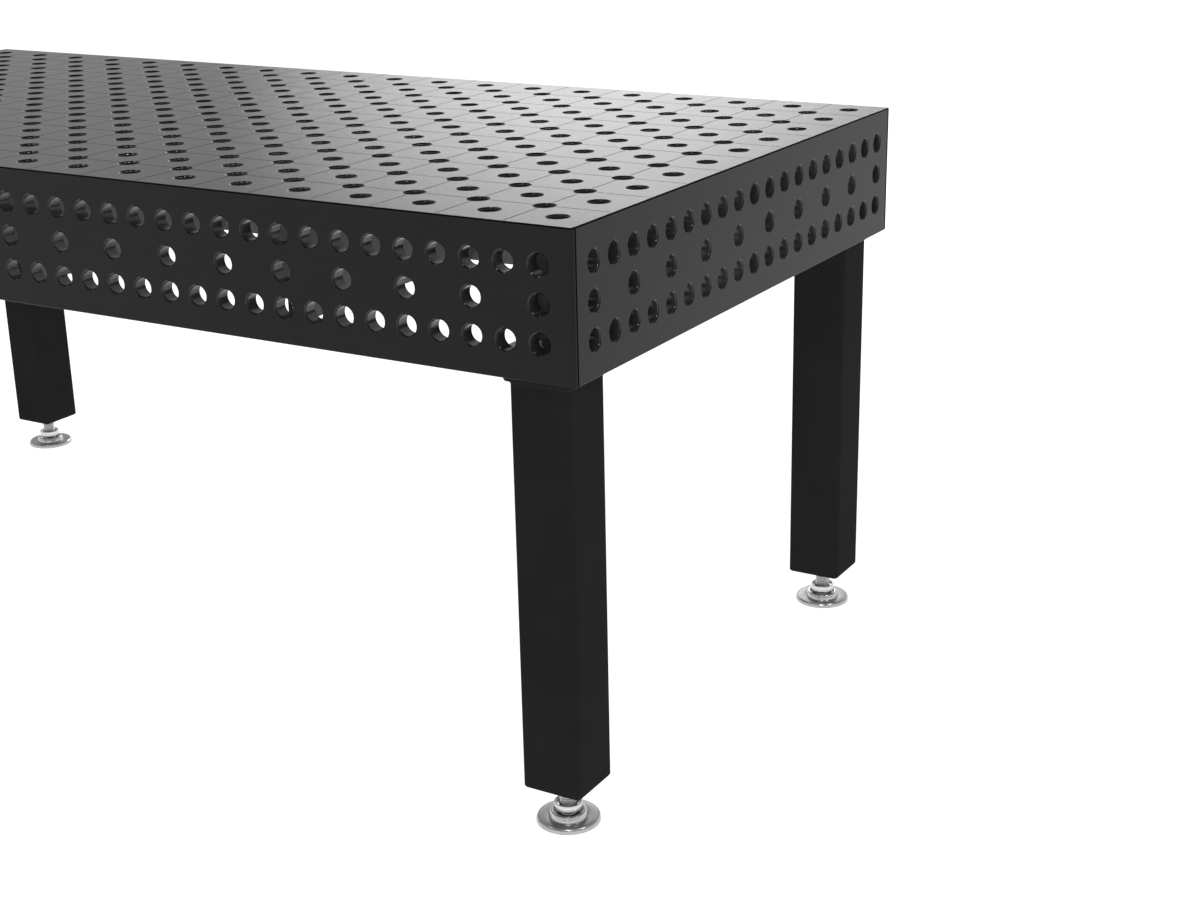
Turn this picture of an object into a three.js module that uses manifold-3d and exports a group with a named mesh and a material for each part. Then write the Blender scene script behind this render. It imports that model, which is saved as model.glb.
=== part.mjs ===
// Modular welding table: a perforated steel top on a perforated skirt, stiffened by ribs,
// standing on four square-tube legs with screw-adjusted, swivelling feet.
// Millimetres. +X along the length, +Y along the width, +Z up.
// Origin: on the floor under the middle of the top.
import * as THREE from 'three';
import { mergeVertices } from 'three/addons/utils/BufferGeometryUtils.js';
import Module from 'manifold-3d';

const wasm = await Module();
wasm.setup();

// ---------------------------------------------------------------- driving dimensions
const LENGTH = 2000;            // top, along X
const WIDTH = 1000;             // top, along Y
const HEIGHT = 850;             // working surface above the floor
const TOP_T = 25;               // thickness of the top plate
const SIDE_H = 200;             // overall height of the skirt, top plate included
const SIDE_T = 22;              // thickness of the skirt plates
const GAP = 0.3;                // joint gap between touching pieces

const GRID = 100;               // pitch of the fixture grid and of the scribed lines
const BORE_R = 14;              // fixture bore, 28 mm
const BORE_N = 6;               // sides of a bore in this faceted model
const SIDE_PITCH = 50;          // pitch of the bores in the upper and lower skirt rows
const SIDE_ROWS = [50, 100, 150]; // depth of the skirt rows below the working surface

const RIB_T = 12;               // stiffening ribs under the top
const RIB_BOTTOM = 663.5;       // underside of the ribs
const RIB_Y = -25;              // lengthwise rib, in the lane between two bore rows
const RIB_X = [525, 25, -525];  // cross ribs, in lanes between bore columns

const LEG_W = 90;               // square leg tube
const LEG_WALL = 5;
const LEG_R = 8;                // outer corner radius of the tube
const LEG_INSET = 25;           // tube face to skirt face
const LEG_BOTTOM = 60;          // lower end of the tube above the floor
const FLANGE_T = 12;            // flange welded on the tube's upper end
const FLANGE_W = 102;
const MOUNT_T = 18;             // corner plate that the flange is screwed to
const MOUNT_W = 150;            // reach of the corner plate from the skirt's outer faces
const BOLT_OFF = 30;            // leg screws, from the leg's axis in X and in Y
const BOLT_R = 6;               // M12
const BOLT_CLEAR = 6.8;

const DISC_R = 45;              // foot disc
const DISC_T = 8;
const COLLAR_R = 26.2;          // raised ring on the disc
const COLLAR_TOP = 16;
const HUB_R = 19.8;             // hub that carries the spindle
const HUB_BOTTOM = 18.6;
const HUB_TOP = 29.5;
const SPINDLE_R = 12;           // M24 x 3 spindle
const SPINDLE_BORE = 12.4;      // running clearance round the spindle
const SPINDLE_TOP = 150;
const SWIVEL_Z = 11;            // centre of the swivel above the floor

// ---------------------------------------------------------------- helpers
const finish = {
  worktop: { color: 0x3a3a3c, roughness: 0.38, metalness: 0.85 },
  skirt: { color: 0x2b2b2c, roughness: 0.45, metalness: 0.75 },
  ribs: { color: 0x2a2a2b, roughness: 0.55, metalness: 0.6 },
  legs: { color: 0x1e1e1e, roughness: 0.5, metalness: 0.2 },
  fasteners: { color: 0x3c3c3e, roughness: 0.4, metalness: 0.9 },
  feet: { color: 0xc9c9c6, roughness: 0.3, metalness: 1.0 },
};

const table = new THREE.Group();

function place(name, geometry, look, x = 0, y = 0, z = 0) {
  const mesh = new THREE.Mesh(geometry, new THREE.MeshStandardMaterial(finish[look]));
  mesh.name = name;
  mesh.position.set(x, y, z);
  table.add(mesh);
  return mesh;
}

function bare(geometry) {
  const g = geometry.clone();
  g.deleteAttribute('normal');
  g.deleteAttribute('uv');
  return mergeVertices(g, 1e-4);
}

function toSolid(geometry) {
  const g = bare(geometry);
  return new wasm.Manifold(new wasm.Mesh({
    numProp: 3,
    vertProperties: new Float32Array(g.attributes.position.array),
    triVerts: new Uint32Array(g.index.array),
  }));
}

function toGeometry(solid) {
  const m = solid.getMesh();
  const g = new THREE.BufferGeometry();
  g.setAttribute('position', new THREE.BufferAttribute(new Float32Array(m.vertProperties), 3));
  g.setIndex(new THREE.BufferAttribute(new Uint32Array(m.triVerts), 1));
  g.computeVertexNormals();
  return g;
}

function block(x0, x1, y0, y1, z0, z1) {
  const g = new THREE.BoxGeometry(x1 - x0, y1 - y0, z1 - z0);
  g.translate((x0 + x1) / 2, (y0 + y1) / 2, (z0 + z1) / 2);
  return g;
}

// Regular polygon whose flats touch a circle of radius r.
function polygon(cx, cy, r, n, turn = 0) {
  const R = r / Math.cos(Math.PI / n);
  const points = [];
  for (let i = 0; i < n; i++) {
    const a = turn + (2 * Math.PI * i) / n;
    points.push(new THREE.Vector2(cx + R * Math.cos(a), cy + R * Math.sin(a)));
  }
  return points;
}

// Square outline with rounded corners, centred on the origin.
function roundedSquare(w, r, steps) {
  const points = [];
  const h = w / 2 - r;
  const corners = [[h, h, 0], [-h, h, 90], [-h, -h, 180], [h, -h, 270]];
  for (const [cx, cy, start] of corners) {
    for (let i = 0; i <= steps; i++) {
      const a = THREE.MathUtils.degToRad(start + (90 * i) / steps);
      points.push(new THREE.Vector2(cx + r * Math.cos(a), cy + r * Math.sin(a)));
    }
  }
  return points;
}

function plate(outline, holes, thickness) {
  const shape = new THREE.Shape(outline);
  for (const points of holes) shape.holes.push(new THREE.Path(points));
  return new THREE.ExtrudeGeometry(shape, { depth: thickness, bevelEnabled: false, curveSegments: 1 });
}

function rect(x0, x1, y0, y1) {
  return [new THREE.Vector2(x0, y0), new THREE.Vector2(x1, y0),
    new THREE.Vector2(x1, y1), new THREE.Vector2(x0, y1)];
}

// Turned piece about Z: profile of [radius, z] from the axis back to the axis, or closed on itself.
function turned(profile, n, closed = false) {
  const points = profile.map(([r, z]) => new THREE.Vector2(r, z));
  if (closed) points.push(points[0].clone());
  const g = new THREE.LatheGeometry(points, n);
  g.rotateX(Math.PI / 2);
  return g;
}

// Makes the piece's faces point out whatever way round its profile was drawn.
function outward(geometry) {
  const g = bare(geometry);
  const p = g.attributes.position;
  const idx = Array.from(g.index.array);
  const kept = [];
  let volume = 0;
  const a = new THREE.Vector3(), b = new THREE.Vector3(), c = new THREE.Vector3();
  for (let i = 0; i < idx.length; i += 3) {
    const [i0, i1, i2] = [idx[i], idx[i + 1], idx[i + 2]];
    if (i0 === i1 || i1 === i2 || i0 === i2) continue;
    a.fromBufferAttribute(p, i0); b.fromBufferAttribute(p, i1); c.fromBufferAttribute(p, i2);
    volume += a.dot(b.clone().cross(c)) / 6;
    kept.push(i0, i1, i2);
  }
  if (volume < 0) {
    for (let i = 0; i < kept.length; i += 3) [kept[i + 1], kept[i + 2]] = [kept[i + 2], kept[i + 1]];
  }
  g.setIndex(kept);
  g.computeVertexNormals();
  return g;
}

// ---------------------------------------------------------------- top plate
// Bores lie on two interleaved square grids, so they form a diagonal pattern.
{
  const holes = [];
  for (let u = GRID / 2; u < LENGTH; u += GRID) {
    for (let v = GRID / 2; v < WIDTH; v += GRID) holes.push([u, v]);
  }
  for (let u = GRID; u < LENGTH; u += GRID) {
    for (let v = GRID; v < WIDTH; v += GRID) holes.push([u, v]);
  }
  const cut = holes.map(([u, v]) => polygon(u - LENGTH / 2, v - WIDTH / 2, BORE_R, BORE_N));
  place('top_plate',
    plate(rect(-LENGTH / 2, LENGTH / 2, -WIDTH / 2, WIDTH / 2), cut, TOP_T), 'worktop',
    0, 0, HEIGHT - TOP_T);
}

// ---------------------------------------------------------------- skirt plates
const skirtTop = HEIGHT - TOP_T - GAP;
const skirtBottom = HEIGHT - SIDE_H;

// Bores of one skirt plate: s runs along the plate, counted from its middle.
function skirtBores(span) {
  const out = [];
  for (const depth of SIDE_ROWS) {
    const pitch = depth === 100 ? GRID : SIDE_PITCH;
    for (let u = 50; u < span; u += pitch) {
      out.push(polygon(u - span / 2, HEIGHT - depth, BORE_R, BORE_N));
    }
  }
  return out;
}

{
  const long = () => {
    const g = plate(rect(-LENGTH / 2, LENGTH / 2, skirtBottom, skirtTop), skirtBores(LENGTH), SIDE_T);
    g.rotateX(Math.PI / 2);
    return g;
  };
  place('skirt_front', long(), 'skirt', 0, -WIDTH / 2 + SIDE_T, 0);
  place('skirt_rear', long(), 'skirt', 0, WIDTH / 2, 0);

  const reach = WIDTH / 2 - SIDE_T - GAP;
  const end = () => {
    const g = plate(rect(-reach, reach, skirtBottom, skirtTop), skirtBores(WIDTH), SIDE_T);
    g.rotateX(Math.PI / 2);
    g.rotateZ(Math.PI / 2);
    return g;
  };
  place('skirt_right', end(), 'skirt', LENGTH / 2 - SIDE_T, 0, 0);
  place('skirt_left', end(), 'skirt', -LENGTH / 2, 0, 0);
}

// ---------------------------------------------------------------- ribs
{
  const inX = LENGTH / 2 - SIDE_T - GAP;
  const inY = WIDTH / 2 - SIDE_T - GAP;
  const h = RIB_T / 2;
  place('rib_lengthwise', block(-inX, inX, RIB_Y - h, RIB_Y + h, RIB_BOTTOM, skirtTop), 'ribs');

  // Each cross rib is two pieces, with a relief notched out of the lower corner at the skirt.
  const relief = 24;
  const reliefTop = RIB_BOTTOM + 42;
  const cross = (x, y0, y1, skirtSide) => {
    const shape = [];
    if (skirtSide < 0) {
      shape.push([y0 + relief, RIB_BOTTOM], [y1, RIB_BOTTOM], [y1, skirtTop], [y0, skirtTop],
        [y0, reliefTop], [y0 + relief - 10, reliefTop], [y0 + relief, reliefTop - 10]);
    } else {
      shape.push([y0, RIB_BOTTOM], [y1 - relief, RIB_BOTTOM], [y1 - relief, reliefTop - 10],
        [y1 - relief + 10, reliefTop], [y1, reliefTop], [y1, skirtTop], [y0, skirtTop]);
    }
    const g = plate(shape.map(([s, z]) => new THREE.Vector2(s, z)), [], RIB_T);
    g.rotateX(Math.PI / 2);
    g.rotateZ(Math.PI / 2);
    g.translate(x - h, 0, 0);
    return g;
  };
  const names = ['right', 'middle', 'left'];
  RIB_X.forEach((x, i) => {
    place(`rib_cross_${names[i]}_front`, cross(x, -inY, RIB_Y - h - GAP, -1), 'ribs');
    place(`rib_cross_${names[i]}_rear`, cross(x, RIB_Y + h + GAP, inY, 1), 'ribs');
  });
}

// ---------------------------------------------------------------- legs and feet
const cornerNames = [
  ['front_right', 1, -1], ['rear_right', 1, 1], ['front_left', -1, -1], ['rear_left', -1, 1],
];
const legX = LENGTH / 2 - LEG_INSET - LEG_W / 2;
const legY = WIDTH / 2 - LEG_INSET - LEG_W / 2;
const flangeTop = skirtBottom - GAP;
const flangeBottom = skirtBottom - FLANGE_T;

// A box given by distances u, v in from the corner's outer faces.
function cornerBlock(sx, sy, u0, u1, v0, v1, z0, z1) {
  const xs = [sx * (LENGTH / 2 - u0), sx * (LENGTH / 2 - u1)].sort((p, q) => p - q);
  const ys = [sy * (WIDTH / 2 - v0), sy * (WIDTH / 2 - v1)].sort((p, q) => p - q);
  return toSolid(block(xs[0], xs[1], ys[0], ys[1], z0, z1));
}

for (const [corner, sx, sy] of cornerNames) {
  const cx = sx * legX;
  const cy = sy * legY;
  const bolts = [[-1, -1], [1, -1], [1, 1], [-1, 1]].map(([i, j]) => [cx + i * BOLT_OFF, cy + j * BOLT_OFF]);

  // corner mount: thick plate with two gussets up to the underside of the top
  const inside = SIDE_T + GAP;
  const plateTop = skirtBottom + MOUNT_T;
  let mount = cornerBlock(sx, sy, inside, MOUNT_W, inside, MOUNT_W, skirtBottom, plateTop);
  mount = mount.add(cornerBlock(sx, sy, 69, 81, inside, 131, plateTop - 1, skirtTop));
  mount = mount.add(cornerBlock(sx, sy, inside, MOUNT_W, 119, 131, plateTop - 1, skirtTop));
  mount = mount.subtract(cornerBlock(sx, sy, 60, 90, inside - 1, 55, plateTop, plateTop + 35));
  for (const [bx, by] of bolts) {
    const hole = plate(polygon(bx, by, BOLT_CLEAR, 6, Math.PI / 6), [], MOUNT_T + 20);
    hole.translate(0, 0, skirtBottom - 10);
    mount = mount.subtract(toSolid(hole));
  }
  place(`leg_mount_${corner}`, toGeometry(mount), 'ribs');

  // flange, with the screw holes
  place(`leg_flange_${corner}`,
    plate(roundedSquare(FLANGE_W, 6, 2),
      bolts.map(([bx, by]) => polygon(bx - cx, by - cy, BOLT_CLEAR, 6, Math.PI / 6)),
      flangeTop - flangeBottom),
    'legs', cx, cy, flangeBottom);

  // tube
  place(`leg_tube_${corner}`,
    plate(roundedSquare(LEG_W, LEG_R, 3), [roundedSquare(LEG_W - 2 * LEG_WALL, LEG_R - LEG_WALL, 1)],
      flangeBottom - GAP - LEG_BOTTOM),
    'legs', cx, cy, LEG_BOTTOM);

  // threaded end plate inside the tube, with a boss standing 6 mm below it
  {
    const w = LEG_W - 2 * LEG_WALL - 2 * GAP;
    const p = plate(roundedSquare(w, 4, 1), [], 12);
    p.translate(0, 0, LEG_BOTTOM);
    const boss = plate(polygon(0, 0, 17, 12), [], 7);
    boss.translate(0, 0, LEG_BOTTOM - 6);
    const bore = plate(polygon(0, 0, SPINDLE_BORE, 12), [], 40);
    bore.translate(0, 0, LEG_BOTTOM - 15);
    place(`leg_nut_plate_${corner}`, toGeometry(toSolid(p).add(toSolid(boss)).subtract(toSolid(bore))),
      'legs', cx, cy, 0);
  }

  // four socket-head screws, heads on the corner plate
  bolts.forEach(([bx, by], i) => {
    place(`leg_screw_${corner}_${i + 1}`,
      outward(turned([[0, 0], [BOLT_R, 0], [BOLT_R, 28], [9, 28], [9, 40], [0, 40]], 6)),
      'fasteners', bx, by, skirtBottom + MOUNT_T + GAP - 28);
  });

  // foot: spindle, hub, swivel ring and disc
  place(`foot_spindle_${corner}`,
    outward(turned([[0, 21.4], [SPINDLE_R - 1.5, 21.4], [SPINDLE_R, 23], [SPINDLE_R, SPINDLE_TOP - 2],
      [SPINDLE_R - 2, SPINDLE_TOP], [0, SPINDLE_TOP]], 12)),
    'feet', cx, cy, 0);
  place(`foot_hub_${corner}`,
    outward(turned([[0, 8.2], [6.5, 8.2], [6.5, HUB_BOTTOM], [HUB_R - 1, HUB_BOTTOM], [HUB_R, HUB_BOTTOM + 1],
      [HUB_R, HUB_TOP], [HUB_R - 2.6, HUB_TOP], [HUB_R - 3.4, HUB_TOP - 2.2], [12.9, HUB_TOP - 2.2], [12.9, 21], [0, 21]], 12)),
    'feet', cx, cy, 0);
  place(`foot_swivel_${corner}`,
    outward(turned([[8.6, 7.6], [12.6, 7.6], [12.6, 14.4], [8.6, 14.4]], 8, true)),
    'feet', cx, cy, 0);
  place(`foot_disc_${corner}`,
    outward(turned([[0, 0], [DISC_R - 1, 0], [DISC_R, 1.2], [DISC_R, DISC_T - 1.4], [DISC_R - 2, DISC_T], [COLLAR_R, DISC_T],
      [COLLAR_R, COLLAR_TOP], [15.4, COLLAR_TOP], [15.4, 5.4], [0, 5.4]], 16)),
    'feet', cx, cy, 0);
}

export default table;
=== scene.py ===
import math

import bpy
import numpy as np
from mathutils import Matrix, Vector
from mathutils.geometry import delaunay_2d_cdt


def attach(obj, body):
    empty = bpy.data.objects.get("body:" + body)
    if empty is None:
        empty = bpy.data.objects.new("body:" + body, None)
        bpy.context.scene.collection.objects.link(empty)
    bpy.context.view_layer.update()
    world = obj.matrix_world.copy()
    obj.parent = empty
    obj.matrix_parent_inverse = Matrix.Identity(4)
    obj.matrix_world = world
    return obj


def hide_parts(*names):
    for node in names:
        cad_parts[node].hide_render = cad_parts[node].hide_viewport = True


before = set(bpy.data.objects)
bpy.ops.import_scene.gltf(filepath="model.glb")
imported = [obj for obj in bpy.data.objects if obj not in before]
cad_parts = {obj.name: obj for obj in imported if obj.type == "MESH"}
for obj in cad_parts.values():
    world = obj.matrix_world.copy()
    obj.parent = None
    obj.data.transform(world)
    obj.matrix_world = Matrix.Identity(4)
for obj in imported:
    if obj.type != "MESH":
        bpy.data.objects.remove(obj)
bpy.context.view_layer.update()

# Welding table. Shapes are written in millimetres and turned into metres when a mesh is made.
# u, v, w: distances in from the right-hand end, the front face and the working surface.
MM = 0.001
LENGTH, WIDTH, HEIGHT = 2000.0, 1000.0, 850.0
TOP_T, SIDE_H, SIDE_T = 25.0, 200.0, 22.0
RIM_R, BORE_R, CHAMFER = 16.0, 14.0, 1.9
SEG = 36
HOLD = 0.4
SEAM = 1.1          # depth of the dressed seam beside each corner
SEAM_W = 3.6
EDGE_R = 2.0        # ground edge round the working surface
CORNER_R = 5.0      # welded and ground vertical corners
FOOT_R = 1.5        # lower edge of the skirt
SKIRT_BOTTOM = HEIGHT - SIDE_H
SKIRT_TOP = HEIGHT - TOP_T
RIB_T, RIB_BOTTOM, RIB_Y = 12.0, 663.5, -25.0
RIB_X = (525.0, 25.0, -525.0)
LEG_X, LEG_Y = 930.0, 430.0
CORNERS = (("front_right", 1, -1), ("rear_right", 1, 1), ("front_left", -1, -1), ("rear_left", -1, 1))
PITCH = 3.0         # thread of the foot spindles


# ------------------------------------------------------------------ mesh tools
class Build:
    """Points in millimetres and faces, each face with a material index and a smooth flag."""

    def __init__(self):
        self.v, self.f, self.m, self.s, self.wear = [], [], [], [], {}

    def points(self, pts, wear=None):
        i0 = len(self.v)
        self.v.extend(tuple(p) for p in pts)
        if wear is not None:
            for k in range(i0, len(self.v)):
                self.wear[k] = wear
        return list(range(i0, len(self.v)))

    def face(self, ids, mat=0, smooth=True):
        self.f.append(tuple(ids))
        self.m.append(mat)
        self.s.append(smooth)

    def strip(self, a, b, mat=0, smooth=True, flip=False, closed=True):
        """Quads between two loops of the same count."""
        n = len(a)
        for k in range(n if closed else n - 1):
            j = (k + 1) % n
            q = (a[j], a[k], b[k], b[j]) if not flip else (a[k], a[j], b[j], b[k])
            q = tuple(dict.fromkeys(q))
            if len(q) > 2:
                self.face(q, mat, smooth)

    def fan(self, loop, flip=False, mat=0, smooth=False):
        self.face(tuple(reversed(loop)) if flip else tuple(loop), mat, smooth)

    def make(self, name, materials, body, nodes=(), origin=(0, 0, 0), sharp=32.0):
        mesh = bpy.data.meshes.new(name)
        pts = (np.array(self.v, float) - np.array(origin, float)) * MM
        mesh.from_pydata(pts.tolist(), [], self.f)
        mesh.polygons.foreach_set("material_index", np.array(self.m, np.int32))
        for m in materials:
            mesh.materials.append(m)
        w = np.zeros(len(self.v), np.float32)
        for k, x in self.wear.items():
            w[k] = x
        mesh.attributes.new("edge_wear", "FLOAT", "POINT").data.foreach_set("value", w)
        mesh.update()
        mesh.set_sharp_from_angle(angle=math.radians(sharp))
        mesh.polygons.foreach_set("use_smooth", np.array(self.s, bool))
        mesh.update()
        o = bpy.data.objects.new(name, mesh)
        o.location = Vector(origin) * MM
        bpy.context.scene.collection.objects.link(o)
        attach(o, body)
        if nodes:
            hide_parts(*nodes)
        return o


def circle(cx, cy, r, n=SEG, turn=0.0):
    return [(cx + r * math.cos(turn + 2 * math.pi * k / n), cy + r * math.sin(turn + 2 * math.pi * k / n)) for k in range(n)]


def rounded(a0, a1, b0, b1, radii, steps):
    """Rounded rectangle, counter-clockwise from the (a0, b0) corner. A corner with 0 steps is a single point."""
    out = []
    for (ca, cb, start), r, n in zip(((a0, b0, 180), (a1, b0, 270), (a1, b1, 0), (a0, b1, 90)), radii, steps):
        if n == 0:
            out.append((ca, cb))
            continue
        oa = ca + (r if ca == a0 else -r)
        ob = cb + (r if cb == b0 else -r)
        arc = [math.radians(start + 90 * k / n) for k in range(n + 1)]
        pts = [(oa + r * math.cos(t), ob + r * math.sin(t)) for t in arc]
        # a point just beyond each end of the arc keeps the long flats' shading true
        t, e = arc[0], arc[-1]
        out.append((pts[0][0] + HOLD * math.sin(t), pts[0][1] - HOLD * math.cos(t)))
        out.extend(pts)
        out.append((pts[-1][0] - HOLD * math.sin(e), pts[-1][1] + HOLD * math.cos(e)))
    return out


def round_steps(r, n):
    """(inset, depth) down a quarter round, from the flat face to the side."""
    return [(r * (1 - math.sin(t)), r * (1 - math.cos(t))) for t in (math.pi / 2 * k / n for k in range(n + 1))]


def triangulate(loops, holes_from):
    """Flat triangles between an outer loop and the convex loops inside it, as indices into all the points in order."""
    pts, edges, label = [], [], []
    for l, loop in enumerate(loops):
        i0, n = len(pts), len(loop)
        pts.extend(Vector((p[0], p[1])) for p in loop)
        label.extend([l] * n)
        edges.extend((i0 + k, i0 + (k + 1) % n) for k in range(n))
    out_v, _, faces, orig, _, _ = delaunay_2d_cdt(pts, edges, [], 0, 1e-6)
    back = [o[0] for o in orig]
    keep = []
    for f in faces:
        t = [back[i] for i in f]
        l = {label[i] for i in t}
        if len(l) == 1 and next(iter(l)) >= holes_from:
            continue
        if l == {0}:
            # three points of the outer loop that turn the wrong way lie in a notch, outside it
            a, b, c = (pts[i] for i in sorted(t))
            if (b.x - a.x) * (c.y - a.y) - (b.y - a.y) * (c.x - a.x) < 0:
                continue
        a, b, c = (pts[i] for i in t)
        area = (b.x - a.x) * (c.y - a.y) - (b.y - a.y) * (c.x - a.x)
        if abs(area) < 1e-7:
            continue
        keep.append(tuple(t) if area > 0 else tuple(reversed(t)))
    return keep


def slab(name, place, thickness, outline, depths, holes, grooves, materials, body, nodes, side_mat=0, chamfer_mat=1, lip_mat=1, edge=(0, 0, 0), seam=None):
    """A perforated plate. place(a, b, d) gives the point at depth d behind the outer face.
    outline(d) is the perimeter at that depth. Material 0 is the face, 1 the bores, 2 the engraved lines. edge =
    (material, first strip, end strip) gives part of the edge round that material as a painted dark line of shade; seam
    = (test, material) gives the corner seam's strips that material as painted shade."""
    b = Build()
    front = [outline(0.0)] + [circle(x, y, RIM_R) for x, y in holes]
    lines = []
    for (ax, ay), (bx, by) in grooves:
        dx, dy = bx - ax, by - ay
        n = math.hypot(dx, dy)
        sx, sy = dx / n, dy / n
        tx, ty = -sy, sx
        w, e = 0.8, 1.8
        lines.append([(ax, ay), (ax + e * sx - w * tx, ay + e * sy - w * ty), (bx - e * sx - w * tx, by - e * sy - w * ty), (bx, by),
                      (bx - e * sx + w * tx, by - e * sy + w * ty), (ax + e * sx + w * tx, ay + e * sy + w * ty)])
    loops = front + lines
    start = b.points([place(x, y, 0.0) for loop in loops for x, y in loop])[0]
    for t in triangulate(loops, 1):
        b.face([start + i for i in t], 0, False)
    ids, k = [], start
    for loop in loops:
        ids.append(list(range(k, k + len(loop))))
        k += len(loop)
    nh = len(holes)
    # scribed lines: a shallow V
    for g, loop in enumerate(lines):
        h = ids[1 + nh + g]
        mid = lambda p, q: ((p[0] + q[0]) / 2, (p[1] + q[1]) / 2)
        p, q = mid(loop[1], loop[5]), mid(loop[2], loop[4])
        p, q = b.points([place(p[0], p[1], 0.35), place(q[0], q[1], 0.35)])
        for f in ((h[0], h[1], p), (h[1], h[2], q, p), (h[2], h[3], q), (h[3], h[4], q), (h[4], h[5], p, q), (h[5], h[0], p)):
            b.face(f, 2, False)
    # perimeter
    rings = [ids[0]]
    for d in depths[1:-1]:
        rings.append(b.points([place(x, y, d) for x, y in outline(d)]))
    back_loops = [outline(thickness)] + [circle(x, y, RIM_R) for x, y in holes]
    start = b.points([place(x, y, thickness) for loop in back_loops for x, y in loop])[0]
    for t in triangulate(back_loops, 1):
        b.face([start + i for i in reversed(t)], 0, False)
    back_ids, k = [], start
    for loop in back_loops:
        back_ids.append(list(range(k, k + len(loop))))
        k += len(loop)
    rings.append(back_ids[0])
    for i, (p, q) in enumerate(zip(rings, rings[1:])):
        # strips edge[1] up to edge[2] take material edge[0]: on the worktop, the dark line material painted on the
        # edge round as a line of shade
        b.strip(p, q, 0 if i < edge[1] else edge[0] if i < edge[2] else side_mat, True)
        # strips that touch the corner seam take material seam[1], the dark line material painted into the groove as
        # shade
        if seam:
            n = len(p)
            flags = [seam[0](*xy, d) for d in depths[i:i + 2] for xy in outline(d)]
            for k in range(n):
                j = (k + 1) % n
                if flags[k] or flags[j] or flags[n + k] or flags[n + j]:
                    b.m[len(b.m) - n + k] = seam[1]
    # bores, chamfered at both ends, the chamfer's own edges just broken
    for h, (x, y) in enumerate(holes):
        ring = [ids[1 + h]]
        for r, d, w in ((RIM_R - 0.15, 0.11, 1.0), (BORE_R + 0.16, CHAMFER - 0.16, 0.5), (BORE_R, CHAMFER + 0.18, 0.0), (BORE_R, CHAMFER + 0.7, 0.0)):
            ring.append(b.points([place(p, q, d) for p, q in circle(x, y, r)], wear=w))
        ring.append(b.points([place(p, q, thickness - CHAMFER) for p, q in circle(x, y, BORE_R)]))
        ring.append(back_ids[1 + h])
        for i, (p, q) in enumerate(zip(ring, ring[1:])):
            b.strip(p, q, lip_mat if i in (0, 2) else chamfer_mat if i == 1 else 1, True, flip=True)
    return b.make(name, materials, body, nodes, sharp=20.0)


def turned(b, profile, n=96, mat=0, cx=0.0, cy=0.0, closed=False, bright=()):
    """Adds a turned shape about the vertical axis. profile goes up the outside: (radius, z).
    Segments listed in bright take material 1, a brighter steel painted on as a highlight."""
    base = mat
    rings = []
    for r, z in profile:
        if r < 1e-6:
            rings.append(b.points([(cx, cy, z)]))
        else:
            rings.append(b.points([(x, y, z) for x, y in circle(cx, cy, r, n)]))
    pairs = list(zip(rings, rings[1:])) + ([(rings[-1], rings[0])] if closed else [])
    for i, (p, q) in enumerate(pairs):
        if len(p) == 1 and len(q) == 1:
            continue
        mat = 1 if i in bright else base
        for k in range(n):
            j = (k + 1) % n
            if len(p) == 1:
                b.face((p[0], q[j], q[k]), mat)
            elif len(q) == 1:
                b.face((p[k], p[j], q[0]), mat)
            else:
                b.face((p[k], p[j], q[j], q[k]), mat)
    return rings


def offset(poly, d):
    """Moves each edge of a counter-clockwise polygon inwards by d."""
    n, out = len(poly), []
    for i in range(n):
        p0, p1, p2 = (np.array(poly[(i + k - 1) % n], float) for k in range(3))
        e0, e1 = p1 - p0, p2 - p1
        n0 = np.array((-e0[1], e0[0])) / np.linalg.norm(e0)
        n1 = np.array((-e1[1], e1[0])) / np.linalg.norm(e1)
        s = n0 + n1
        out.append(tuple(p1 + s * (d / (1 + float(n0 @ n1)))))
    return out


def prism(b, poly, place, t, c=0.8, mat=0):
    """A plate of outline poly (counter-clockwise) and thickness t, its edges broken by c."""
    area = sum(p[0] * q[1] - q[0] * p[1] for p, q in zip(poly, poly[1:] + poly[:1]))
    if area < 0:
        poly = list(reversed(poly))
    rings = []
    for d, i, w in ((0, c, None), (c * 0.3, c * 0.3, 1.0), (c, 0, None), (t - c, 0, None), (t - c * 0.3, c * 0.3, 1.0), (t, c, None)):
        rings.append(b.points([place(x, y, d) for x, y in (offset(poly, i) if i else poly)], wear=w))
    b.fan(rings[0], mat=mat)
    b.fan(rings[-1], flip=True, mat=mat)
    for p, q in zip(rings, rings[1:]):
        b.strip(p, q, mat, False)


def bead(b, start, end, side1, side2, size, mat=0, seed=0):
    """A fillet weld with ripples, from start to end, in the corner between directions side1 and side2."""
    p, q = np.array(start, float), np.array(end, float)
    s1, s2 = np.array(side1, float), np.array(side2, float)
    length = float(np.linalg.norm(q - p))
    along = (q - p) / length
    n = max(4, int(length / 1.3))
    rings = []
    for k in range(n + 1):
        s = length * k / n
        ripple = 0.5 + 0.5 * math.cos(2 * math.pi * s / 5.2 + seed)
        end_fade = min(1.0, 0.35 + s / 5.0, 0.35 + (length - s) / 5.0)
        f = size * end_fade * (0.93 + 0.09 * ripple + 0.04 * math.sin(s * 0.37 + seed * 1.7))
        ring = []
        for j in range(7):
            t = math.pi / 2 * j / 6
            bulge = 1.0 - 0.19 * math.sin(2 * t)
            x, y = f * math.cos(t) * bulge, f * math.sin(t) * bulge
            lag = 1.5 * math.sin(2 * t)
            ring.append(p + along * max(0.0, min(length, s - lag)) + s1 * x + s2 * y)
        ring.append(p + along * s - (s1 + s2) * 0.4)
        rings.append(b.points([tuple(r) for r in ring]))
    right = float(np.dot(np.cross(s1, s2), along)) > 0
    for r0, r1 in zip(rings, rings[1:]):
        b.strip(r0, r1, mat, True, flip=right)
    b.fan(rings[0], flip=right, mat=mat)
    b.fan(rings[-1], flip=not right, mat=mat)


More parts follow.
